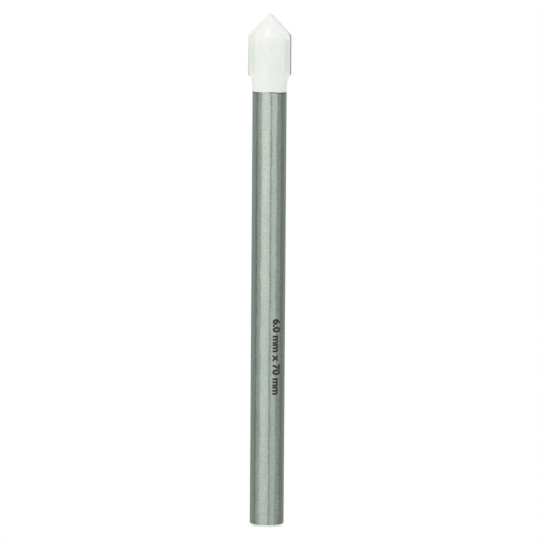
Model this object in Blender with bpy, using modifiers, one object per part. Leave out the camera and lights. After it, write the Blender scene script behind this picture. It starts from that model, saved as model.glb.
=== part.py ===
"""Glass and tile drill bit, 6 mm nominal.

A turned steel shank has a slot sawn into its coned nose. A spear-point
carbide blade stands in the slot on a film of braze, which swells into a small
fillet under each wing. The painted tip is dipped in white lacquer, and the
point and the margins are then ground bare.

Metres. +Z runs along the axis from the shank's flat end to the point, X lies
across the blade's width and Y through its thickness. The origin is the centre
of the flat end.
"""

import math

import bmesh
import bpy
from mathutils import Matrix, Vector

MM = 0.001

# Whole bit
OVERALL_LENGTH = 70.0 * MM
SEAT_GAP = 0.01 * MM  # between the faces of neighbouring solids

# Shank
SHANK_DIAMETER = 4.68 * MM
END_CHAMFER = 0.37 * MM
NOSE_HALF_ANGLE = math.radians(41.0)
NOSE_DEPTH = 1.8 * MM  # from the point down to the nose's flat end
NOSE_FLAT_DIAMETER = 1.7 * MM
NOSE_BASE_RADIUS = 1.5 * MM  # where the cone runs into the round

# Carbide blade
CUTTING_DIAMETER = 6.0 * MM
BLADE_THICKNESS = 1.4 * MM
BLADE_HEIGHT = 8.6 * MM  # from the point down to the flat foot
POINT_HALF_ANGLE = math.radians(44.0)
LIP_RELIEF = math.radians(10.0)
MARGIN_RELIEF = math.radians(7.0)
SHOULDER_BREAK = 0.07 * MM  # depth stoned off each outer corner
FOOT_CHAMFER = 0.28 * MM
GRINDING_STOCK = 0.4 * MM  # what the blank has over the ground blade

# Slot and braze
BRAZE_FILM = 0.08 * MM  # room left for braze on each side and under the foot
SAW_RADIUS = 20.0 * MM  # of the slitting saw, which dishes the slot's floor
FILLET_REACH = 0.26 * MM  # out from the shank, along the blade's foot
FILLET_HEIGHT = 0.87 * MM

# Lacquer
LACQUER_FILM = 0.03 * MM
LACQUER_LENGTH = 10.6 * MM  # from the point down to the dip line, on the axis
DIP_TILT = math.radians(1.5)

# Facets
TURNED_STEPS = 96
SAW_STEPS = 256
FILLET_STEPS = 6
NOSE_STEPS = 5
SHARP_ANGLE = math.radians(25.0)
MERGE_DISTANCE = 0.001 * MM

# Worked out from the sizes above
shank_radius = SHANK_DIAMETER / 2
nose_flat_radius = NOSE_FLAT_DIAMETER / 2
nose_top_z = OVERALL_LENGTH - NOSE_DEPTH
nose_base_z = nose_top_z - (shank_radius - nose_flat_radius) / math.tan(NOSE_HALF_ANGLE)

half_thickness = BLADE_THICKNESS / 2
half_width = math.sqrt((CUTTING_DIAMETER / 2) ** 2 - half_thickness**2)
lip_drop = math.tan(LIP_RELIEF) / math.sin(POINT_HALF_ANGLE)  # fall in Z for each unit of Y
lip_apex_z = OVERALL_LENGTH + lip_drop * half_thickness
foot_z = OVERALL_LENGTH - BLADE_HEIGHT
foot_half_width = half_width - FOOT_CHAMFER

slot_half_width = half_thickness + BRAZE_FILM
floor_dish = SAW_RADIUS - math.sqrt(SAW_RADIUS**2 - shank_radius**2)
slot_floor_z = foot_z - BRAZE_FILM - floor_dish

lacquer_outside = SEAT_GAP + LACQUER_FILM
dip_z = OVERALL_LENGTH - LACQUER_LENGTH


def empty_scene():
    """Removes every object, and returns the collections for the parts and for their cutters."""
    for obj in list(bpy.data.objects):
        bpy.data.objects.remove(obj)
    made = []
    for name in ("glass_and_tile_drill_bit", "cutters"):
        collection = bpy.data.collections.new(name)
        bpy.context.scene.collection.children.link(collection)
        made.append(collection)
    return made


parts, cutters = empty_scene()


def placed(name, mesh, collection):
    """Links a mesh as an object. One that only cuts or joins others stays out of renders."""
    obj = bpy.data.objects.new(name, mesh)
    collection.objects.link(obj)
    if collection is cutters:
        obj.hide_render = True
        obj.display_type = "WIRE"
    return obj


def turned(name, profile, collection=cutters):
    """A solid turned about Z. The profile is (radius, z) pairs down from the top of the axis."""
    mesh = bpy.data.meshes.new(name)
    vertices = [(radius, 0.0, z) for radius, z in profile]
    mesh.from_pydata(vertices, [(i, i + 1) for i in range(len(profile) - 1)], [])
    obj = placed(name, mesh, collection)
    screw = obj.modifiers.new("turn", "SCREW")
    screw.steps = screw.render_steps = TURNED_STEPS
    screw.use_merge_vertices = True
    screw.merge_threshold = MERGE_DISTANCE
    return obj


def block(name, low, high, cuts=(), collection=cutters):
    """A box between two corners, less all that lies beyond each (point, outward normal) plane."""
    low, high = Vector(low), Vector(high)
    shape = bmesh.new()
    fit = Matrix.Translation((low + high) / 2) @ Matrix.Diagonal((high - low).to_4d())
    bmesh.ops.create_cube(shape, size=1.0, matrix=fit)
    for point, normal in cuts:
        everything = shape.verts[:] + shape.edges[:] + shape.faces[:]
        cut = bmesh.ops.bisect_plane(
            shape, geom=everything, plane_co=point, plane_no=normal, clear_outer=True
        )
        rim = [item for item in cut["geom_cut"] if isinstance(item, bmesh.types.BMEdge)]
        bmesh.ops.contextual_create(shape, geom=rim)
    bmesh.ops.recalc_face_normals(shape, faces=shape.faces[:])
    mesh = bpy.data.meshes.new(name)
    shape.to_mesh(mesh)
    shape.free()
    return placed(name, mesh, collection)


def combine(obj, operation, other):
    """Adds a Boolean of another solid to the object."""
    modifier = obj.modifiers.new(other.name, "BOOLEAN")
    modifier.operation = operation
    modifier.object = other
    modifier.solver = "EXACT"
    return obj


def finished(obj, colour, roughness, metallic):
    """Applies the modifiers, shades round faces smooth and gives the object its own material."""
    graph = bpy.context.evaluated_depsgraph_get()
    mesh = bpy.data.meshes.new_from_object(obj.evaluated_get(graph))
    obj.modifiers.clear()
    obj.data = mesh
    mesh.name = obj.name
    mesh.shade_smooth()
    mesh.set_sharp_from_angle(angle=SHARP_ANGLE)
    material = bpy.data.materials.new(obj.name)
    material.use_nodes = True
    surface = material.node_tree.nodes["Principled BSDF"]
    surface.inputs["Base Color"].default_value = (*colour, 1.0)
    surface.inputs["Roughness"].default_value = roughness
    surface.inputs["Metallic"].default_value = metallic
    mesh.materials.clear()
    mesh.materials.append(material)
    return obj


def shank_profile(grow=0.0):
    """The shank's turned outline, coned nose to chamfered end, moved outwards by grow."""
    flat = nose_flat_radius + grow * math.tan(math.pi / 4 - NOSE_HALF_ANGLE / 2)
    corner = grow * math.tan(math.pi / 8)
    arc_r = shank_radius - NOSE_BASE_RADIUS
    arc_z = nose_base_z - NOSE_BASE_RADIUS * math.tan(NOSE_HALF_ANGLE / 2)
    radius = NOSE_BASE_RADIUS + grow
    arc = []
    for step in range(NOSE_STEPS + 1):
        rise = NOSE_HALF_ANGLE * (1 - step / NOSE_STEPS)
        arc.append((arc_r + radius * math.cos(rise), arc_z + radius * math.sin(rise)))
    return [
        (0.0, nose_top_z + grow),
        (flat, nose_top_z + grow),
        *arc,
        (shank_radius + grow, END_CHAMFER - corner),
        (shank_radius - END_CHAMFER + corner, -grow),
        (0.0, -grow),
    ]


def slot_saw(name, shrink=0.0):
    """The disc that the slitting saw sweeps, standing across Y with its rim on the slot's floor."""
    shape = bmesh.new()
    place = Matrix.Translation((0.0, 0.0, slot_floor_z + SAW_RADIUS))
    radius = SAW_RADIUS - shrink
    bmesh.ops.create_cone(
        shape,
        cap_ends=True,
        segments=SAW_STEPS,
        radius1=radius,
        radius2=radius,
        depth=2 * (slot_half_width - shrink),
        matrix=place @ Matrix.Rotation(math.pi / 2, 4, "X"),
    )
    mesh = bpy.data.meshes.new(name)
    shape.to_mesh(mesh)
    shape.free()
    return placed(name, mesh, cutters)


def foot_cuts(grow=0.0):
    """The pressed chamfers at the two corners of the blade's foot."""
    cuts = []
    for side in (1, -1):
        normal = Vector((side, 0.0, -1.0)).normalized()
        corner = Vector((side * foot_half_width, 0.0, foot_z))
        cuts.append((corner + normal * grow, normal))
    return cuts


def grinding_cuts():
    """The planes that the point and the margins are ground to. The bit cuts anticlockwise seen
    from its point, so the right half leads with its +Y face and the left half with its -Y face."""
    cuts = []
    for side in (1, -1):
        lip = Vector((side / math.tan(POINT_HALF_ANGLE), -side * lip_drop, 1.0)).normalized()
        cuts.append((Vector((0.0, side * half_thickness, lip_apex_z)), lip))
        margin = Vector((side, -side * math.tan(MARGIN_RELIEF), 0.0)).normalized()
        shoulder_z = lip_apex_z - half_width / math.tan(POINT_HALF_ANGLE)
        shoulder = Vector((side * half_width, side * half_thickness, shoulder_z))
        cuts.append((shoulder, margin))
        broken = (lip + margin).normalized()
        cuts.append((shoulder - broken * SHOULDER_BREAK, broken))
    return cuts


def blade_blank(name, half_depth, grow=0.0, cuts=(), collection=cutters):
    """The pressed blade with its foot chamfers and any more cuts, its outline grown outwards."""
    across = half_width + GRINDING_STOCK
    low = (-across, -half_depth, foot_z - grow)
    high = (across, half_depth, lip_apex_z + GRINDING_STOCK)
    return block(name, low, high, [*foot_cuts(grow), *cuts], collection)


def fillet_profile(grow=0.0):
    """The concave outline of the braze fillet, from inside the blade's foot down into the shank."""
    chord = math.atan2(FILLET_REACH, FILLET_HEIGHT)
    low, high = chord / 2, chord * 3 / 2  # the arc's slopes from the axis at the wall and at the foot
    radius = FILLET_HEIGHT / (math.sin(high) - math.sin(low))
    centre_r = shank_radius + FILLET_REACH + radius * math.cos(high)
    centre_z = foot_z - radius * math.sin(high)
    radius -= grow
    arc = []
    for step in range(FILLET_STEPS + 1):
        slope = high + (low - high) * step / FILLET_STEPS
        arc.append((centre_r - radius * math.cos(slope), centre_z + radius * math.sin(slope)))
    lap_z = foot_z + FOOT_CHAMFER / 2
    wall_r, wall_z = arc[-1]
    buried_r = shank_radius - BRAZE_FILM
    buried_z = wall_z - (wall_r - buried_r) / math.tan(low)
    return [(0.0, lap_z), (arc[0][0], lap_z), *arc, (buried_r, buried_z), (0.0, buried_z)]


def blade_slab(name, grow=0.0):
    """The space between the planes of the blade's two faces, moved outwards by grow."""
    reach = CUTTING_DIAMETER
    through = half_thickness + grow
    return block(name, (-reach, -through, foot_z - reach), (reach, through, foot_z + 2 * reach))


def turned_fillets(name, grow=0.0):
    """The fillets before they are trimmed to the blade's thickness. Their facets lie half a step
    round from the shank's, so that no edges of the two nearly coincide."""
    fillets = turned(name, fillet_profile(grow))
    fillets.rotation_euler.z = math.pi / TURNED_STEPS
    return fillets


def winged_blank(name, grow):
    """The blade blank in one with the fillets under its wings, moved outwards by grow."""
    blank = blade_blank(name, BLADE_THICKNESS, grow)
    combine(blank, "UNION", turned_fillets(name + "_fillets", grow))
    return combine(blank, "INTERSECT", blade_slab(name + "_slab", grow))


def make_shank():
    shank = turned("shank", shank_profile(), parts)
    combine(shank, "DIFFERENCE", slot_saw("slot_saw"))
    return finished(shank, (0.52, 0.55, 0.52), 0.32, 1.0)


def make_blade():
    blade = blade_blank("carbide_blade", half_thickness, 0.0, grinding_cuts(), parts)
    return finished(blade, (0.33, 0.33, 0.34), 0.38, 1.0)


def make_braze():
    """What the molten braze fills: the slot round the blade, and a fillet under each wing."""
    fillets = combine(turned_fillets("braze_fillets"), "INTERSECT", blade_slab("braze_slab"))
    braze = combine(turned("braze_joint", shank_profile(), parts), "UNION", fillets)
    shank_room = turned("braze_shank_room", shank_profile(SEAT_GAP))
    combine(shank_room, "DIFFERENCE", slot_saw("braze_slot_saw", SEAT_GAP))
    combine(braze, "DIFFERENCE", shank_room)
    combine(braze, "DIFFERENCE", blade_blank("braze_blade_room", half_thickness + SEAT_GAP, SEAT_GAP))
    return finished(braze, (0.72, 0.56, 0.3), 0.4, 1.0)


def make_lacquer():
    """The dipped skin over the head and neck, ground away with the point and the margins."""
    lacquer = turned("tip_lacquer", shank_profile(lacquer_outside), parts)
    combine(lacquer, "UNION", winged_blank("lacquer_blade", lacquer_outside))
    reach = CUTTING_DIAMETER
    dip_line = (Vector((0.0, 0.0, dip_z)), Vector((-math.tan(DIP_TILT), 0.0, -1.0)).normalized())
    ground = block(
        "lacquer_ground",
        (-reach, -reach, dip_z - reach),
        (reach, reach, lip_apex_z + GRINDING_STOCK),
        [*grinding_cuts(), dip_line],
    )
    combine(lacquer, "INTERSECT", ground)
    combine(lacquer, "DIFFERENCE", turned("lacquer_shank_room", shank_profile(SEAT_GAP)))
    combine(lacquer, "DIFFERENCE", winged_blank("lacquer_blade_room", SEAT_GAP))
    return finished(lacquer, (0.86, 0.87, 0.83), 0.45, 0.0)


make_shank()
make_blade()
make_braze()
make_lacquer()
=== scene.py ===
"""The looks of the glass and tile drill bit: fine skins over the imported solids, the printed size,
their materials, a plain pale floor with soft studio light, and the camera.

Metres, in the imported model's frame: +Z up the axis from the shank's flat end, which the bit stands
on, X across the blade and Y through it. The camera looks along +Y.
"""

import math

import bmesh
import bpy
import numpy as np
from mathutils import Matrix, Quaternion, Vector


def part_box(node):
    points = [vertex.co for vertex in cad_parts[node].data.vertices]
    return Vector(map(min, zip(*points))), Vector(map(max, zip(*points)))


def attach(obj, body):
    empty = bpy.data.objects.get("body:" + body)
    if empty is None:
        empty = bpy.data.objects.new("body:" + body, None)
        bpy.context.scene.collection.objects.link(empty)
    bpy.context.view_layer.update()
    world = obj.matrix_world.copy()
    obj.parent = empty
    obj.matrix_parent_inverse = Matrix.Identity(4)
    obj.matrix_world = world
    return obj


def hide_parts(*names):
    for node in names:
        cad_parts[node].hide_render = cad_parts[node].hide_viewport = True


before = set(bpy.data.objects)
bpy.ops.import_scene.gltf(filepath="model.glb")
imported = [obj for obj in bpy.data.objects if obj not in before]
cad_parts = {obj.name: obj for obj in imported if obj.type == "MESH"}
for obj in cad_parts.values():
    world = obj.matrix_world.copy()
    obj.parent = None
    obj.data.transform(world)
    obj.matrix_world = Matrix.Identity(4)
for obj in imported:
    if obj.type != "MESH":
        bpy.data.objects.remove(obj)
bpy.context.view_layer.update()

MM = 0.001

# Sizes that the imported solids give
blade_low, blade_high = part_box("carbide_blade")
shank_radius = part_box("shank")[1].x
nose_top_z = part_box("shank")[1].z
half_width = blade_high.x
half_thickness = blade_high.y
foot_z = blade_low.z
point_z = blade_high.z

# Shank
NOSE_HALF_ANGLE = math.radians(41.0)
NOSE_FLAT_RADIUS = 0.85 * MM
END_CHAMFER = 0.37 * MM
CHAMFER_ROUND = 0.03 * MM  # what handling takes off the chamfer's two edges
NOSE_BASE_RADIUS = 1.5 * MM
NOSE_TOP_ROUND = 0.06 * MM
BRAZE_FILM = 0.08 * MM
SAW_RADIUS = 20.0 * MM
SHANK_STEPS = 256
SAW_STEPS = 512
CORNER_STEPS = 6
SUPPORT = 0.05 * MM  # from a corner to the loop that keeps its shading to itself

# Blade
POINT_HALF_ANGLE = math.radians(44.0)
LIP_RELIEF = math.radians(10.0)
MARGIN_RELIEF = math.radians(7.0)
SHOULDER_BREAK = 0.07 * MM  # ground off the shoulder, between the lip and the margin
FOOT_CHAMFER = 0.28 * MM
WORN_FOOT_CHAMFER = 0.42 * MM  # of the wing at +X, whose corner is worn rounder
GRINDING_STOCK = 0.4 * MM  # that the wings and the point have on them before they are ground
BLADE_EDGE = 0.008 * MM  # honed off the sharp edges

# Braze fillets under the wings
FILLET_REACH = 0.26 * MM
FILLET_HEIGHT = 0.87 * MM
FILLET_RUNOUT = 0.3  # sets how fast the outline sinks into the shank below the fillet's lower end

# Lacquer
SEAT_GAP = 0.01 * MM
FILM = 0.013 * MM
FILM_LIMIT = 0.0295 * MM  # the film's greatest thickness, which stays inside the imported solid's
BEAD_RISE = 0.0115 * MM
BEAD_HEIGHT = 0.16 * MM  # of the bead's crest above the dip line
BEAD_SPREAD = 0.12 * MM
# Slow waves of the film's thickness: count round the head, depth, and the height for one radian
FILM_DRIFTS = ((3, 0.0016 * MM, 0.9 * MM), (5, 0.0012 * MM, -0.5 * MM))
LIP_HEIGHT = 0.09 * MM  # over which the film's lower rim rounds off
RIM_SHARE = 0.04  # of its thickness, which the film keeps at its very rim
MENISCUS = 0.8 * MM  # how far apart two faces begin to run into each other
NOSE_MENISCUS = 0.5 * MM
FILLET_BLEND = 0.08 * MM
METAL_FOOT_SLOPE = 40.0  # how many parts out the foot runs for one part up
FILM_FOOT_SLOPE = 4.0
FOOT_BLEND = 0.1 * MM
EDGE_BLEND = 0.06 * MM
DIP_Z = 59.4 * MM
# Waves of the dip line: count round the shank, depth, and where it sags most, in degrees round from
# the camera's side
DIP_WAVES = ((1, 0.02 * MM, 60.0), (3, 0.008 * MM, 42.0), (5, 0.018 * MM, 40.0), (8, 0.008 * MM, 33.0))
# A thin dark line drawn on the steel just under the lacquer's edge
DIP_LINE_ROOM = 0.5 * MM  # above and below the dip line's mean height
DIP_LINE_ROW = 0.02 * MM
DARK_LINE_WIDTH = 0.13 * MM
DARK_LINE_MEAN = 0.55  # of its full darkness
DARK_LINE_SWING = 0.45  # about that mean, three times round the shank
DARK_LINE_DARKEST = math.radians(33.0)  # round from the camera's side, and at thirds of a turn from there
SECTION_STEP = 0.055 * MM  # about the space between points round the wings' cross-section
SECTION_Z = 64.0 * MM  # the height of that cross-section
SECTION_SAMPLES = 4001  # fine points that measure a quarter of it
ROW_STEP = 0.1 * MM
FINE_ROW_STEP = 0.03 * MM
FOOT_ROW_STEP = 0.01 * MM
INNER_ROW_SHARE = 3  # the inside has one row for each so many of the outside
RIM_ROOM = 0.5 * MM  # above the dip line, where the rows lie close
LEVEL_HEIGHT = 1.2 * MM  # above the dip line, from where the rows no longer follow its waves
FLAKE_TOP_Z = 66.0 * MM  # from here down the lacquer has flaked back from the leading edges
FLAKE_SLOPE = 0.008  # how much further back it has flaked for each unit down
FLAKE_TAPER = math.radians(45.0)  # between the flaked edge and the blade's face

# Print
PRINT_TEXT = "6.0 mm x 70 mm"
PRINT_SIZE = 1.5 * MM
PRINT_WEIGHT = 0.072 * MM  # added to each side of a stroke
PRINT_DEPTH = 0.008 * MM
PRINT_PROUD = 0.2  # share of its depth by which the ink's middle stands off the steel
PRINT_CUT = 0.12 * MM  # between the lines that let the letters bend round the shank
PRINT_BASELINE = 18.0  # degrees round from the camera's side to the feet of the letters
PRINT_START_Z = 28.6 * MM

# Light
LAMP_DISTANCE = 0.6
STRIP_HEIGHT = 0.45
SCREEN_GLOW = 0.2
SCREEN_RADIUS = 0.72
SCREEN_LOW = math.radians(-21.0)  # how far below the bit's middle the screen reaches, and above it
SCREEN_HIGH = math.radians(18.0)
FLOOR_RADIUS = 3.5 * MM
FLOOR_GLOW = 0.35
STAGE_STEPS = 96  # round the floor and the screen

# Camera
CAMERA_LENS = 219.95  # in millimetres, as the sensor's width is
SENSOR_WIDTH = 36.0
CAMERA_DISTANCE = 0.45
CAMERA_RISE = 4.5  # degrees above the bit's middle
CAMERA_LEAN = math.radians(0.4)
AIM_X = 0.222 * MM
AIM_Z = 35.125 * MM

# Worked out from the sizes above
nose_base_z = nose_top_z - (shank_radius - NOSE_FLAT_RADIUS) / math.tan(NOSE_HALF_ANGLE)
nose_apex_z = nose_base_z + shank_radius / math.tan(NOSE_HALF_ANGLE)
nose_arc_z = nose_base_z - NOSE_BASE_RADIUS * math.tan(NOSE_HALF_ANGLE / 2)
lip_drop = math.tan(LIP_RELIEF) / math.sin(POINT_HALF_ANGLE)
lip_apex_z = point_z + lip_drop * half_thickness
slot_half_width = half_thickness + BRAZE_FILM
floor_dish = SAW_RADIUS - math.sqrt(SAW_RADIUS**2 - shank_radius**2)
slot_floor_z = foot_z - BRAZE_FILM - floor_dish


def new_object(name, mesh):
    """Links a mesh as an object of the scene."""
    obj = bpy.data.objects.new(name, mesh)
    bpy.context.scene.collection.objects.link(obj)
    return obj


def mesh_of(shape, name):
    """A mesh made from a bmesh, which is freed."""
    mesh = bpy.data.meshes.new(name)
    shape.to_mesh(mesh)
    shape.free()
    return mesh


def dressed(piece, node):
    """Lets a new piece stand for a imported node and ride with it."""
    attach(piece, "root")
    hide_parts(node)
    return piece


def applied(obj, sharp=math.radians(30.0)):
    """Applies the modifiers and shades smooth between the sharp edges."""
    graph = bpy.context.evaluated_depsgraph_get()
    mesh = bpy.data.meshes.new_from_object(obj.evaluated_get(graph))
    obj.modifiers.clear()
    obj.data = mesh
    mesh.name = obj.name
    mesh.shade_smooth()
    mesh.set_sharp_from_angle(angle=sharp)
    return obj


def rounded(profile, rounds):
    """A profile with its inner corners turned into arcs. Each arc has a support point on each side."""
    result = [profile[0]]
    for before, corner, after, radius in zip(profile, profile[1:], profile[2:], rounds):
        start, middle, end = Vector(before), Vector(corner), Vector(after)
        back = (start - middle).normalized()
        ahead = (end - middle).normalized()
        half = back.angle(ahead) / 2
        reach = radius / math.tan(half)
        centre = middle + (back + ahead).normalized() * (radius / math.sin(half))
        result.append(middle + back * (reach + SUPPORT))
        first = middle + back * reach - centre
        turn = math.pi - 2 * half
        if (-back).cross(ahead) > 0:
            turn = -turn
        for step in range(CORNER_STEPS + 1):
            angle = turn * step / CORNER_STEPS
            spun = Vector((
                first.x * math.cos(angle) + first.y * math.sin(angle),
                first.y * math.cos(angle) - first.x * math.sin(angle),
            ))
            result.append(centre + spun)
        result.append(middle + ahead * (reach + SUPPORT))
    return [*result, profile[-1]]


def turned(name, profile, steps):
    """A closed solid turned about Z. The profile runs from the bottom of the axis to its top."""
    shape = bmesh.new()
    rings = []
    for radius, z in profile:
        if radius < 1e-9:
            rings.append([shape.verts.new((0.0, 0.0, z))])
            continue
        ring = []
        for step in range(steps):
            angle = 2 * math.pi * step / steps
            ring.append(shape.verts.new((radius * math.cos(angle), radius * math.sin(angle), z)))
        rings.append(ring)
    for lower, upper in zip(rings, rings[1:]):
        for step in range(steps):
            following = (step + 1) % steps
            corners = [lower[step % len(lower)], lower[following % len(lower)]]
            corners += [upper[following % len(upper)], upper[step % len(upper)]]
            shape.faces.new(dict.fromkeys(corners))
    return new_object(name, mesh_of(shape, name))


def block(name, low, high, cuts=()):
    """A box between two corners, less all that lies beyond each (point, outward normal) plane."""
    low, high = Vector(low), Vector(high)
    shape = bmesh.new()
    fit = Matrix.Translation((low + high) / 2) @ Matrix.Diagonal((high - low).to_4d())
    bmesh.ops.create_cube(shape, size=1.0, matrix=fit)
    for point, normal in cuts:
        everything = shape.verts[:] + shape.edges[:] + shape.faces[:]
        cut = bmesh.ops.bisect_plane(
            shape, geom=everything, plane_co=point, plane_no=normal, clear_outer=True
        )
        rim = [item for item in cut["geom_cut"] if isinstance(item, bmesh.types.BMEdge)]
        bmesh.ops.contextual_create(shape, geom=rim)
    bmesh.ops.recalc_face_normals(shape, faces=shape.faces[:])
    return new_object(name, mesh_of(shape, name))


def grinding_cuts():
    """The planes that the point and the margins are ground to, on each side of the blade."""
    cuts = []
    for side in (1, -1):
        lip = Vector((side / math.tan(POINT_HALF_ANGLE), -side * lip_drop, 1.0)).normalized()
        cuts.append((Vector((0.0, side * half_thickness, lip_apex_z)), lip))
        margin = Vector((side, -side * math.tan(MARGIN_RELIEF), 0.0)).normalized()
        shoulder_z = lip_apex_z - half_width / math.tan(POINT_HALF_ANGLE)
        shoulder = Vector((side * half_width, side * half_thickness, shoulder_z))
        cuts.append((shoulder, margin))
        broken = (lip + margin).normalized()
        cuts.append((shoulder - broken * SHOULDER_BREAK, broken))
    return cuts


def flake_cuts():
    """Planes that thin the lacquer out to nothing beside the leading edges, more so lower down."""
    cuts = []
    for side in (1, -1):
        edge = Vector((side * half_width, side * half_thickness, FLAKE_TOP_Z))
        across = Vector((side * math.sin(FLAKE_TAPER), side * math.cos(FLAKE_TAPER), 0.0))
        lean = Vector((0.0, 0.0, -FLAKE_SLOPE * math.sin(FLAKE_TAPER)))
        cuts.append((edge, (across + lean).normalized()))
    return cuts


# Shank


def darken_under_dip_line(mesh):
    """Marks a thin dark line on the steel just under the lacquer's edge, darker in three places."""
    places = np.empty(len(mesh.vertices) * 3)
    mesh.vertices.foreach_get("co", places)
    x, y, z = places.reshape(-1, 3).T
    angle = np.arctan2(y, x)
    line = np.exp(-(((dip_edge(angle) - z) / DARK_LINE_WIDTH) ** 2)) * (np.hypot(x, y) > shank_radius * 0.99)
    patches = DARK_LINE_MEAN + DARK_LINE_SWING * np.cos(3 * (angle + math.pi / 2 - DARK_LINE_DARKEST))
    layer = mesh.attributes.new("dip_line_dark", "FLOAT", "POINT")
    layer.data.foreach_set("value", (line * patches).astype(np.float32))


def make_shank():
    """The ground shank with worn chamfer edges, its coned nose and the sawn slot."""
    corners = [
        (0.0, 0.0),
        (shank_radius - END_CHAMFER, 0.0),
        (shank_radius, END_CHAMFER),
        (shank_radius, nose_base_z),
        (NOSE_FLAT_RADIUS, nose_top_z),
        (0.0, nose_top_z),
    ]
    outline = rounded(corners, (CHAMFER_ROUND, CHAMFER_ROUND, NOSE_BASE_RADIUS, NOSE_TOP_ROUND))
    below = next(i for i, (_, z) in enumerate(outline) if z > DIP_Z)
    rows = np.arange(DIP_Z - DIP_LINE_ROOM, DIP_Z + DIP_LINE_ROOM, DIP_LINE_ROW)
    outline[below:below] = [Vector((shank_radius, z)) for z in rows]
    shank = turned("ground_shank", outline, SHANK_STEPS)
    shape = bmesh.new()
    bmesh.ops.create_cone(
        shape,
        cap_ends=True,
        segments=SAW_STEPS,
        radius1=SAW_RADIUS,
        radius2=SAW_RADIUS,
        depth=2 * slot_half_width,
        matrix=Matrix.Translation((0.0, 0.0, slot_floor_z + SAW_RADIUS))
        @ Matrix.Rotation(math.pi / 2, 4, "X"),
    )
    saw = new_object("saw", mesh_of(shape, "saw"))
    slot = shank.modifiers.new("slot", "BOOLEAN")
    slot.operation = "DIFFERENCE"
    slot.object = saw
    slot.solver = "EXACT"
    applied(shank)
    bpy.data.objects.remove(saw)
    darken_under_dip_line(shank.data)
    return dressed(shank, "shank")


def make_blade():
    """The ground carbide blade with its edges just honed."""
    cuts = grinding_cuts()
    for side, chamfer in ((1, WORN_FOOT_CHAMFER), (-1, FOOT_CHAMFER)):
        normal = Vector((side, 0.0, -1.0)).normalized()
        cuts.append((Vector((side * (half_width - chamfer), 0.0, foot_z)), normal))
    across = half_width + GRINDING_STOCK
    low = (-across, -half_thickness, foot_z)
    high = (across, half_thickness, lip_apex_z + GRINDING_STOCK)
    blade = block("ground_blade", low, high, cuts)
    bevel = blade.modifiers.new("edges", "BEVEL")
    bevel.width = BLADE_EDGE
    bevel.segments = 2
    bevel.limit_method = "ANGLE"
    bevel.angle_limit = math.radians(20.0)
    bevel.harden_normals = False
    return dressed(applied(blade), "carbide_blade")


# Lacquer


def smooth_max(a, b, reach):
    """The greater of two values, blended where they are less than reach apart."""
    near = np.clip(reach - np.abs(a - b), 0.0, None)
    return np.maximum(a, b) + near**2 / (4 * np.maximum(reach, 1e-12))


def smooth_min(a, b, reach):
    """The smaller of two values, blended where they are less than reach apart."""
    return -smooth_max(-a, -b, reach)


def wing_reach(angle, z, grow, slope, blend):
    """The wing's outline: up the fillet's hollow arc, out along the foot and up its chamfer. The
    foot climbs a little on its way out, by one part in the slope, and its corners are blended."""
    foot_end = half_width - np.where(np.cos(angle) > 0.0, WORN_FOOT_CHAMFER, FOOT_CHAMFER)
    chord = math.atan2(FILLET_REACH, FILLET_HEIGHT)
    low, high = chord / 2, chord * 3 / 2
    radius = FILLET_HEIGHT / (math.sin(high) - math.sin(low))
    centre_r = shank_radius + FILLET_REACH + radius * math.cos(high)
    centre_z = foot_z - radius * math.sin(high)
    wall_z = centre_z + radius * math.sin(low)
    rise = np.maximum(z, wall_z) - centre_z
    arc = centre_r - np.sqrt(np.clip((radius - grow) ** 2 - rise**2, 0.0, None))
    fade = np.clip(wall_z - z, 0.0, None) / math.tan(low) * FILLET_RUNOUT
    fillet = np.minimum(arc, shank_radius + FILLET_REACH + grow) - fade
    foot = foot_end + (z - foot_z + grow) * slope
    chamfer = foot_end + (z - foot_z) + grow * math.sqrt(2)
    wing = smooth_min(foot, chamfer, blend / 2)
    return smooth_max(fillet, np.minimum(wing, half_width + GRINDING_STOCK + grow), blend)


def core_reach(z, grow):
    """The shank's round, the arc at the nose's base and the cone, as a distance from the axis."""
    cone = (nose_apex_z + grow / math.sin(NOSE_HALF_ANGLE) - z) * math.tan(NOSE_HALF_ANGLE)
    radius = NOSE_BASE_RADIUS + grow
    rise = np.maximum(z - nose_arc_z, 0.0)
    arc = shank_radius - NOSE_BASE_RADIUS + np.sqrt(np.clip(radius**2 - rise**2, 0.0, None))
    return np.where(rise > radius * math.sin(NOSE_HALF_ANGLE), cone, arc)


def metal_reach(angle, z, grow):
    """How far the metal head reaches from the axis at an angle and height, grown outwards by grow."""
    slab = (half_thickness + grow) / np.maximum(np.abs(np.sin(angle)), 1e-6)
    wing = wing_reach(angle, z, grow, METAL_FOOT_SLOPE, 0.0)
    wing = np.where(z > foot_z, wing / np.maximum(np.abs(np.cos(angle)), 1e-6), wing)
    return np.maximum(core_reach(z, grow), np.minimum(slab, wing))


def coated_reach(angle, z, grow):
    """The same for the lacquer's outside, which runs together in the corners."""
    core = core_reach(z, grow)
    slab = (half_thickness + grow) / np.maximum(np.abs(np.sin(angle)), 1e-6)
    wing = wing_reach(angle, z, grow, FILM_FOOT_SLOPE, FOOT_BLEND)
    wing = np.where(z > foot_z, wing / np.maximum(np.abs(np.cos(angle)), 1e-6), wing)
    faces = smooth_max(core, slab, np.where(z > nose_base_z, NOSE_MENISCUS, MENISCUS))
    ends = smooth_max(core, wing, FILLET_BLEND)
    clear = np.clip(np.minimum(faces, ends) - core, 0.0, EDGE_BLEND)
    return smooth_min(faces, ends, clear)


def dip_edge(angle):
    """Height of the lacquer's lower edge, which sags in slow waves round the shank."""
    edge = np.full_like(angle, DIP_Z)
    for count, height, place in DIP_WAVES:
        edge -= height * np.cos(count * (angle + math.pi / 2 - math.radians(place)))
    return edge


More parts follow.
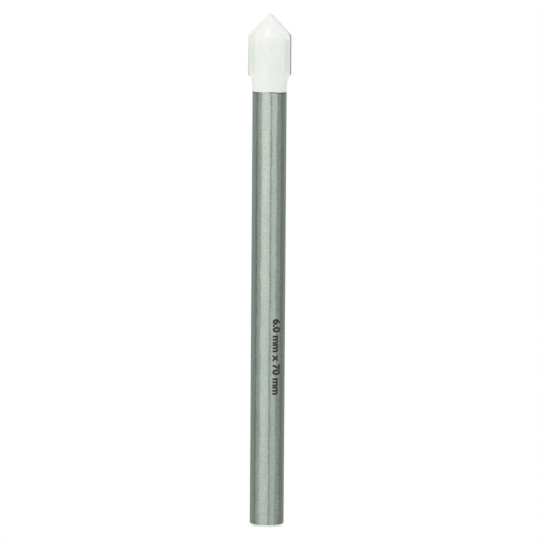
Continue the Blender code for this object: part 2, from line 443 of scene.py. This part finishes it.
def film_at(angle, z):
    """The lacquer's thickness: even, a little wavy, with a bead above its rounded lower rim."""
    above = z - dip_edge(angle)
    bead = BEAD_RISE * np.exp(-(((above - BEAD_HEIGHT) / BEAD_SPREAD) ** 2))
    drift = sum(depth * np.sin(count * angle + z / pitch) for count, depth, pitch in FILM_DRIFTS)
    rim = np.clip(above / LIP_HEIGHT, 0.0, 1.0)
    shape = np.sqrt(np.clip(rim * (2 - rim), 0.0, 1.0))
    return np.minimum(FILM + bead + drift, FILM_LIMIT) * (RIM_SHARE + (1 - RIM_SHARE) * shape)


def section_angles():
    """Angles round the axis, evenly spaced along the wing's cross-section."""
    fine = np.linspace(0.0, math.pi / 2, SECTION_SAMPLES)
    radius = coated_reach(fine, np.full_like(fine, SECTION_Z), FILM)
    steps = np.hypot(np.diff(radius * np.cos(fine)), np.diff(radius * np.sin(fine)))
    along = np.concatenate([[0.0], np.cumsum(steps)])
    count = int(along[-1] / SECTION_STEP)
    quarter = np.interp(np.linspace(0.0, along[-1], count + 1), along, fine)
    half = np.concatenate([quarter, math.pi - quarter[-2::-1]])
    return np.concatenate([half[:-1], half[:-1] + math.pi])


def row_heights():
    """Heights above the dip line, closer together where the shape bends most."""
    arc_top_z = nose_arc_z + NOSE_BASE_RADIUS * math.sin(NOSE_HALF_ANGLE)
    bends = (
        (foot_z - 0.08 * MM, foot_z + 0.03 * MM, FOOT_ROW_STEP),
        (DIP_Z, DIP_Z + RIM_ROOM, FINE_ROW_STEP),
        (foot_z - FILLET_HEIGHT, foot_z + FOOT_CHAMFER, FINE_ROW_STEP),
        (nose_arc_z, arc_top_z + 0.1 * MM, FINE_ROW_STEP),
        (nose_top_z - 0.4 * MM, nose_top_z + 0.6 * MM, FINE_ROW_STEP),
    )
    heights = [0.0]
    while DIP_Z + heights[-1] < lip_apex_z + GRINDING_STOCK / 2:
        here = DIP_Z + heights[-1]
        steps = [step for low, high, step in bends if low <= here < high]
        heights.append(heights[-1] + min(steps, default=ROW_STEP))
    return np.array(heights)


def skin_points(angles, heights, inner):
    """Grid of points on the lacquer's outside, or on its inside against the metal."""
    edge = dip_edge(angles)
    share = np.clip(heights / LEVEL_HEIGHT, 0.0, 1.0)
    share = share * share * (3 - 2 * share)
    z = heights[:, None] + edge[None, :] * (1 - share[:, None]) + DIP_Z * share[:, None]
    angle = np.broadcast_to(angles[None, :], z.shape)
    if inner:
        radius = metal_reach(angle, z, SEAT_GAP)
    else:
        radius = coated_reach(angle, z, SEAT_GAP + film_at(angle, z))
    return np.stack([radius * np.cos(angle), radius * np.sin(angle), z], axis=-1)


def add_skin(shape, points, outward):
    """Adds a grid of points that closes round the axis. Returns the edges of its lowest ring."""
    rows = [[shape.verts.new(point) for point in row] for row in points.tolist()]
    for lower, upper in zip(rows, rows[1:]):
        for place in range(len(lower)):
            corners = [lower[place - 1], lower[place], upper[place], upper[place - 1]]
            shape.faces.new(corners if outward else corners[::-1])
    return [shape.edges.get((rows[0][place - 1], rows[0][place])) for place in range(len(rows[0]))]


def make_lacquer():
    """The dipped skin: a closed shell over the metal, ground off with the point and the margins."""
    angles = section_angles()
    heights = row_heights()
    shape = bmesh.new()
    rim = add_skin(shape, skin_points(angles, heights, False), True)
    rim += add_skin(shape, skin_points(angles, heights[::INNER_ROW_SHARE], True), False)
    bmesh.ops.bridge_loops(shape, edges=rim)
    for point, normal in grinding_cuts() + flake_cuts():
        everything = shape.verts[:] + shape.edges[:] + shape.faces[:]
        bmesh.ops.bisect_plane(shape, geom=everything, plane_co=point, plane_no=normal, clear_outer=True)
    bmesh.ops.bridge_loops(shape, edges=[edge for edge in shape.edges if edge.is_boundary])
    skin = new_object("lacquer_skin", mesh_of(shape, "lacquer_skin"))
    return dressed(applied(skin, math.radians(40.0)), "tip_lacquer")


# Print


def make_print():
    """The size printed down the shank in ink, as a thin closed skin bent round it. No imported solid
    or slot stands for the ink, so it only rides along."""
    curve = bpy.data.curves.new("size_print", "FONT")
    curve.body = PRINT_TEXT
    curve.size = PRINT_SIZE
    curve.resolution_u = 6
    curve.offset = PRINT_WEIGHT
    curve.extrude = PRINT_DEPTH / 2
    text = new_object("size_text", curve)
    graph = bpy.context.evaluated_depsgraph_get()
    mesh = bpy.data.meshes.new_from_object(text.evaluated_get(graph))
    bpy.data.objects.remove(text)
    shape = bmesh.new()
    shape.from_mesh(mesh)
    bmesh.ops.remove_doubles(shape, verts=shape.verts[:], dist=PRINT_DEPTH / 10)
    highest = max(vert.co.y for vert in shape.verts)
    lowest = min(vert.co.y for vert in shape.verts)
    level = lowest + PRINT_CUT
    while level < highest:
        everything = shape.verts[:] + shape.edges[:] + shape.faces[:]
        bmesh.ops.bisect_plane(shape, geom=everything, plane_co=(0.0, level, 0.0), plane_no=(0.0, 1.0, 0.0))
        level += PRINT_CUT
    for vert in shape.verts:
        along, up, out = vert.co
        angle = math.radians(PRINT_BASELINE) + up / shank_radius
        radius = shank_radius + PRINT_DEPTH * PRINT_PROUD + out
        vert.co = (radius * math.sin(angle), -radius * math.cos(angle), PRINT_START_Z - along)
    bmesh.ops.recalc_face_normals(shape, faces=shape.faces[:])
    ink = new_object("size_print", mesh_of(shape, "size_print"))
    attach(ink, "root")
    return ink


# Materials


class Shader:
    """A node material on one Principled surface, with short calls for what such a material needs."""

    def __init__(self, name, metallic):
        self.material = bpy.data.materials.new(name)
        self.material.use_nodes = True
        self.nodes = self.material.node_tree.nodes
        self.links = self.material.node_tree.links
        self.surface = self.nodes["Principled BSDF"]
        self.surface.inputs["Metallic"].default_value = metallic
        self.place = self.nodes.new("ShaderNodeTexCoord").outputs["Object"]

    def join(self, socket, value):
        """Links a socket, or sets it to a number."""
        if isinstance(value, bpy.types.NodeSocket):
            self.links.new(value, socket)
        else:
            socket.default_value = value

    def math(self, operation, *values):
        """One step of arithmetic."""
        node = self.nodes.new("ShaderNodeMath")
        node.operation = operation
        for socket, value in zip(node.inputs, values):
            self.join(socket, value)
        return node.outputs[0]

    def part(self, axis):
        """The X, Y or Z of the place on the bit."""
        node = self.nodes.new("ShaderNodeSeparateXYZ")
        self.links.new(self.place, node.inputs[0])
        return node.outputs[axis]

    def noise(self, sizes, detail=2.0, coarse=0.5, shift=0.0):
        """Noise from 0 to 1 whose grain has these sizes along X, Y and Z."""
        mapping = self.nodes.new("ShaderNodeMapping")
        mapping.inputs["Scale"].default_value = [1.0 / size for size in sizes]
        mapping.inputs["Location"].default_value = (shift, shift * 1.7, shift * 2.3)
        self.links.new(self.place, mapping.inputs["Vector"])
        node = self.nodes.new("ShaderNodeTexNoise")
        node.inputs["Scale"].default_value = 1.0
        node.inputs["Detail"].default_value = detail
        node.inputs["Roughness"].default_value = coarse
        self.links.new(mapping.outputs["Vector"], node.inputs["Vector"])
        return node.outputs["Fac"]

    def spread(self, value, low, high, to_low=0.0, to_high=1.0):
        """A value's range stretched smoothly onto another, and held at its ends."""
        node = self.nodes.new("ShaderNodeMapRange")
        node.interpolation_type = "SMOOTHSTEP"
        self.join(node.inputs["Value"], value)
        node.inputs["From Min"].default_value = low
        node.inputs["From Max"].default_value = high
        node.inputs["To Min"].default_value = to_low
        node.inputs["To Max"].default_value = to_high
        return node.outputs["Result"]

    def mix(self, share, first, second):
        """Two colours mixed by a share."""
        node = self.nodes.new("ShaderNodeMix")
        node.data_type = "RGBA"
        self.join(node.inputs[0], share)
        for socket, colour in ((node.inputs[6], first), (node.inputs[7], second)):
            self.join(socket, colour if isinstance(colour, bpy.types.NodeSocket) else (*colour, 1.0))
        return node.outputs[2]

    def bumps(self, *layers):
        """Bump layers as (height from 0 to 1, depth in metres), the coarsest first."""
        normal = None
        for height, depth in layers:
            node = self.nodes.new("ShaderNodeBump")
            node.inputs["Distance"].default_value = depth
            self.links.new(height, node.inputs["Height"])
            if normal:
                self.links.new(normal, node.inputs["Normal"])
            normal = node.outputs["Normal"]
        self.links.new(normal, self.surface.inputs["Normal"])

    def glow(self, strength):
        """Gives off plain white light, and has no gloss."""
        self.surface.inputs["Specular IOR Level"].default_value = 0.0
        self.surface.inputs["Emission Color"].default_value = (1.0, 1.0, 1.0, 1.0)
        self.join(self.surface.inputs["Emission Strength"], strength)

    def finish(self, colour, roughness):
        """Sets the surface's colour and roughness, and gives the material back."""
        self.join(self.surface.inputs["Base Color"], colour)
        self.join(self.surface.inputs["Roughness"], roughness)
        return self.material


def paint(obj, material):
    """Gives the object one material."""
    obj.data.materials.clear()
    obj.data.materials.append(material)


def ground_steel():
    """Centreless-ground steel: fine marks round the shank, a faint speckle, painted shade that grows
    towards the foot, a bright turned end, and a thin dark line drawn just under the lacquer's edge."""
    dark, light, handled = (0.475, 0.53, 0.475), (0.575, 0.63, 0.58), (0.40, 0.43, 0.41)
    lower_shade, bright, dark_line_colour = (0.02, 0.08, 0.02), (0.77, 0.82, 0.755), (0.03, 0.035, 0.03)
    shader = Shader("ground_steel", 1.0)
    shader.surface.inputs["Anisotropic"].default_value = 0.35
    shader.surface.inputs["Anisotropic Rotation"].default_value = 0.25
    tangent = shader.nodes.new("ShaderNodeTangent")
    tangent.direction_type = "RADIAL"
    tangent.axis = "Z"
    shader.links.new(tangent.outputs["Tangent"], shader.surface.inputs["Tangent"])
    marks = shader.noise((1.1 * MM, 1.1 * MM, 0.09 * MM), detail=4.0, coarse=0.7)
    speckle = shader.noise((0.16 * MM, 0.16 * MM, 0.3 * MM), detail=2.0, coarse=0.6, shift=3.0)
    handling = shader.noise((2.2 * MM, 2.2 * MM, 5.0 * MM), detail=3.0, coarse=0.5, shift=7.0)
    waves = shader.noise((1.2 * MM, 1.2 * MM, 3.0 * MM), detail=1.0, coarse=0.5, shift=11.0)
    tone = shader.math("ADD", shader.math("MULTIPLY", marks, 0.45), shader.math("MULTIPLY", speckle, 0.55))
    colour = shader.mix(shader.spread(tone, 0.36, 0.64), dark, light)
    colour = shader.mix(shader.spread(handling, 0.35, 0.7, 0.0, 0.12), colour, handled)
    height = shader.part("Z")
    # Painted shade: the steel is drawn a little darker towards its foot.
    painted_lower_shade = shader.spread(height, 15.0 * MM, 65.0 * MM, 0.13, 0.0)
    colour = shader.mix(painted_lower_shade, colour, lower_shade)
    turned_end = shader.spread(height, END_CHAMFER - 0.02 * MM, END_CHAMFER + 0.01 * MM, 1.0, 0.0)
    colour = shader.mix(turned_end, colour, bright)
    # The thin dark line drawn just under the lacquer's edge.
    attribute = shader.nodes.new("ShaderNodeAttribute")
    attribute.attribute_name = "dip_line_dark"
    colour = shader.mix(attribute.outputs["Fac"], colour, dark_line_colour)
    fine = shader.spread(speckle, 0.3, 0.7, 0.0, 0.05)
    roughness = shader.math("ADD", fine, shader.spread(handling, 0.3, 0.7, 0.2, 0.24))
    shader.bumps((waves, 0.05 * MM), (speckle, 0.0012 * MM), (marks, 0.0012 * MM))
    return shader.finish(colour, roughness)


def ground_carbide():
    """Dark grey sintered carbide with a fine grain and grinding marks, darkened by heat at its foot."""
    dark, light, heated = (0.35, 0.35, 0.355), (0.45, 0.45, 0.455), (0.27, 0.265, 0.27)
    shader = Shader("ground_carbide", 1.0)
    marks = shader.noise((0.9 * MM, 0.02 * MM, 0.9 * MM), detail=3.0, coarse=0.6)
    grain = shader.noise((0.05 * MM,) * 3, detail=2.0, coarse=0.6, shift=4.0)
    tone = shader.math("ADD", shader.math("MULTIPLY", marks, 0.6), shader.math("MULTIPLY", grain, 0.4))
    colour = shader.mix(shader.spread(tone, 0.35, 0.65), dark, light)
    heat = shader.spread(shader.part("Z"), foot_z + 0.8 * MM, foot_z + 2.6 * MM, 0.75, 0.0)
    colour = shader.mix(heat, colour, heated)
    roughness = shader.spread(tone, 0.3, 0.7, 0.26, 0.4)
    shader.bumps((grain, 0.0006 * MM), (marks, 0.0006 * MM))
    return shader.finish(colour, roughness)


def white_lacquer():
    """Dipped white lacquer with a soft sheen: thickest at the point, which is drawn whitest, partly as
    painted light from above; painted shade on the wings beside the barrel; worn beside their edges."""
    shaded, plain, white = (0.815, 0.84, 0.775), (0.85, 0.865, 0.825), (0.905, 0.91, 0.865)
    # thin is the colour of the painted shade on the wings; bare is that of worn lacquer.
    thin, bare = (0.71, 0.76, 0.70), (0.55, 0.56, 0.55)
    shader = Shader("white_lacquer", 0.0)
    slow = shader.noise((0.9 * MM, 0.9 * MM, 1.6 * MM), detail=2.0, coarse=0.5)
    peel = shader.noise((0.16 * MM,) * 3, detail=2.0, coarse=0.5, shift=5.0)
    across = shader.math("ABSOLUTE", shader.part("X"))
    height = shader.part("Z")
    colour = shader.mix(shader.spread(slow, 0.3, 0.7), shaded, plain)
    # Painted light: the point is drawn whiter, partly for its thicker film and partly as light from above.
    # The same mask gives the thicker film its gloss and lumps.
    sagging = shader.noise((0.7 * MM,) * 3, detail=1.0, coarse=0.5, shift=2.0)
    sagging = shader.math("MULTIPLY_ADD", sagging, 1.6 * MM, height)
    thick_and_lit = shader.spread(sagging, nose_arc_z + 0.3 * MM, nose_top_z + 0.1 * MM)
    colour = shader.mix(thick_and_lit, colour, white)
    # Painted shade on the wings beside the barrel: strongest next to it, less towards their outer edges,
    # none at the foot and at the point, broken up by the peel.
    shade_on_wings = shader.spread(across, 1.85 * MM, 2.25 * MM)
    shade_on_wings = shader.math("MULTIPLY", shade_on_wings, shader.spread(across, 2.4 * MM, 2.8 * MM, 1.0, 0.55))
    shade_on_wings = shader.math("MULTIPLY", shade_on_wings, shader.spread(height, foot_z, foot_z + 0.9 * MM))
    shade_on_wings = shader.math("MULTIPLY", shade_on_wings, shader.math("SUBTRACT", 1.0, thick_and_lit))
    shade_on_wings = shader.math("MULTIPLY", shade_on_wings, shader.spread(peel, 0.3, 0.6, 0.6, 1.0))
    colour = shader.mix(shade_on_wings, colour, thin)
    worn = shader.spread(across, half_width - 0.15 * MM, half_width - 0.04 * MM)
    worn = shader.math("MULTIPLY", worn, shader.spread(peel, 0.35, 0.6, 0.45, 0.95))
    worn = shader.math("MULTIPLY", worn, shader.spread(height, FLAKE_TOP_Z - MM, FLAKE_TOP_Z, 1.0, 0.4))
    colour = shader.mix(worn, colour, bare)
    fine = shader.spread(peel, 0.3, 0.7, 0.0, 0.06)
    roughness = shader.math("ADD", fine, shader.spread(slow, 0.3, 0.7, 0.34, 0.42))
    roughness = shader.math("MULTIPLY_ADD", thick_and_lit, -0.14, roughness)
    pooled = shader.noise((0.6 * MM,) * 3, detail=1.0, coarse=0.5, shift=1.3)
    pooled = shader.math("MULTIPLY", pooled, thick_and_lit)
    shader.bumps((slow, 0.012 * MM), (pooled, 0.13 * MM), (peel, 0.0012 * MM))
    return shader.finish(colour, roughness)


def silver_braze():
    """Dull braze with a rippled skin."""
    dark, light = (0.60, 0.46, 0.24), (0.78, 0.63, 0.38)
    shader = Shader("silver_braze", 1.0)
    ripple = shader.noise((0.25 * MM,) * 3, detail=3.0, coarse=0.6)
    colour = shader.mix(shader.spread(ripple, 0.35, 0.65), dark, light)
    shader.bumps((ripple, 0.006 * MM))
    return shader.finish(colour, shader.spread(ripple, 0.3, 0.7, 0.35, 0.55))


def printing_ink():
    """Nearly black ink, a little thin in places."""
    black, thin = (0.008, 0.009, 0.008), (0.032, 0.036, 0.033)
    shader = Shader("printing_ink", 0.0)
    patches = shader.noise((0.12 * MM,) * 3, detail=2.0, coarse=0.6)
    colour = shader.mix(shader.spread(patches, 0.4, 0.8), black, thin)
    shader.bumps((patches, 0.0015 * MM))
    return shader.finish(colour, shader.spread(patches, 0.3, 0.7, 0.45, 0.6))


# Light and stage


def toward(azimuth, elevation):
    """Unit vector from the bit. Azimuth 0 is where the camera stands, and grows to its right."""
    turn, rise = math.radians(azimuth), math.radians(elevation)
    return Vector((
        math.sin(turn) * math.cos(rise),
        -math.cos(turn) * math.cos(rise),
        math.sin(rise),
    ))


def make_lamp(name, azimuth, elevation, width, height, brightness, colour=(1.0, 1.0, 1.0)):
    """A soft rectangular lamp that faces the bit. Brightness 1 looks white in a mirror."""
    data = bpy.data.lights.new(name, "AREA")
    data.shape = "RECTANGLE"
    data.size = width
    data.size_y = height
    data.energy = brightness * math.pi * width * height
    data.color = colour
    lamp = bpy.data.objects.new(name, data)
    bpy.context.scene.collection.objects.link(lamp)
    way = toward(azimuth, elevation)
    lamp.location = Vector((0.0, 0.0, point_z / 2)) + way * LAMP_DISTANCE
    lamp.rotation_euler = (-way).to_track_quat("-Z", "Y").to_euler()


def make_lamps():
    """Tall lamps round the bit, brightest in front, with gaps at its sides that stay dark in the
    steel. One stands high behind it, a small one is over its point and two lie low at its sides."""
    warm, cool, blue, green = (0.98, 1.0, 0.9), (0.96, 0.96, 1.04), (0.95, 0.96, 1.08), (0.86, 1.0, 0.88)
    make_lamp("key_left", -36.4, 3.0, 0.318, STRIP_HEIGHT, 0.9, cool)
    make_lamp("key", -7.0, 4.0, 0.33, STRIP_HEIGHT, 0.88, warm)
    make_lamp("front_right", 33.3, 4.5, 0.385, STRIP_HEIGHT, 0.68, blue)
    make_lamp("left_edge", -55.2, 0.0, 0.075, STRIP_HEIGHT, 0.18, green)
    make_lamp("left", -68.0, 0.0, 0.335, STRIP_HEIGHT, 0.33, green)
    make_lamp("right", 68.0, 0.0, 0.43, STRIP_HEIGHT, 0.22, green)
    make_lamp("far_left", -116.5, 0.0, 0.42, STRIP_HEIGHT, 0.23, green)
    make_lamp("far_right", 116.0, 0.0, 0.42, STRIP_HEIGHT, 0.1, green)
    make_lamp("back_left", -148.0, 0.0, 0.3, STRIP_HEIGHT, 0.2, green)
    make_lamp("back_right", 140.0, 0.0, 0.33, STRIP_HEIGHT, 0.18, green)
    make_lamp("back", 180.0, 0.0, 0.5, STRIP_HEIGHT, 0.6)
    make_lamp("back_top", 180.0, 30.0, 0.6, 0.3, 0.98)
    make_lamp("top_front", -58.0, 76.0, 0.09, 0.09, 8.5)
    make_lamp("lower_left", -80.0, -38.0, 0.4, 0.25, 2.4)
    make_lamp("lower_right", 80.0, -38.0, 0.4, 0.25, 2.3)


def make_world():
    """A plain white studio, which the camera and the metal both see."""
    world = bpy.data.worlds.new("studio")
    bpy.context.scene.world = world
    world.use_nodes = True
    background = world.node_tree.nodes["Background"]
    background.inputs["Color"].default_value = (1.0, 1.0, 1.0, 1.0)
    background.inputs["Strength"].default_value = 1.0


def make_screen():
    """A dark grey screen round the bit, outside the lamps, which gives the steel its dark bands."""
    low = point_z / 2 + SCREEN_RADIUS * math.tan(SCREEN_LOW)
    high = point_z / 2 + SCREEN_RADIUS * math.tan(SCREEN_HIGH)
    shape = bmesh.new()
    bmesh.ops.create_cone(
        shape,
        cap_ends=False,
        segments=STAGE_STEPS,
        radius1=SCREEN_RADIUS,
        radius2=SCREEN_RADIUS,
        depth=high - low,
        matrix=Matrix.Translation((0.0, 0.0, (low + high) / 2)),
    )
    screen = new_object("grey_screen", mesh_of(shape, "grey_screen"))
    screen.visible_camera = False
    screen.visible_transmission = False
    shader = Shader("dark_screen", 0.0)
    shader.glow(SCREEN_GLOW)
    paint(screen, shader.finish((0.0, 0.0, 0.0, 1.0), 1.0))


def make_floor():
    """The pale floor under the bit, white to the camera but for the bit's own shadow."""
    shape = bmesh.new()
    bmesh.ops.create_circle(shape, cap_ends=True, segments=STAGE_STEPS, radius=FLOOR_RADIUS)
    floor = new_object("floor", mesh_of(shape, "floor"))
    shader = Shader("pale_floor", 0.0)
    path = shader.nodes.new("ShaderNodeLightPath")
    seen = shader.math("MAXIMUM", path.outputs["Is Camera Ray"], path.outputs["Is Glossy Ray"])
    seen = shader.math("MAXIMUM", seen, path.outputs["Is Transmission Ray"])
    shader.glow(shader.math("MULTIPLY", seen, FLOOR_GLOW))
    paint(floor, shader.finish((0.85, 0.85, 0.85, 1.0), 0.9))


def make_camera():
    """A long lens a little above the bit's middle, with the photograph's slight lean."""
    data = bpy.data.cameras.new("camera")
    data.lens = CAMERA_LENS
    data.sensor_width = SENSOR_WIDTH
    camera = bpy.data.objects.new("camera", data)
    bpy.context.scene.collection.objects.link(camera)
    back = toward(0.0, CAMERA_RISE)
    camera.location = Vector((AIM_X, 0.0, AIM_Z)) + back * CAMERA_DISTANCE
    aim = (-back).to_track_quat("-Z", "Y")
    lean = Quaternion((0.0, 0.0, 1.0), CAMERA_LEAN)
    camera.rotation_euler = (aim @ lean).to_euler()
    bpy.context.scene.camera = camera


paint(make_shank(), ground_steel())
paint(make_blade(), ground_carbide())
paint(make_lacquer(), white_lacquer())
paint(make_print(), printing_ink())
paint(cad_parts["braze_joint"], silver_braze())
make_floor()
make_world()
make_screen()
make_lamps()
make_camera()
bpy.context.scene.view_settings.view_transform = "Standard"
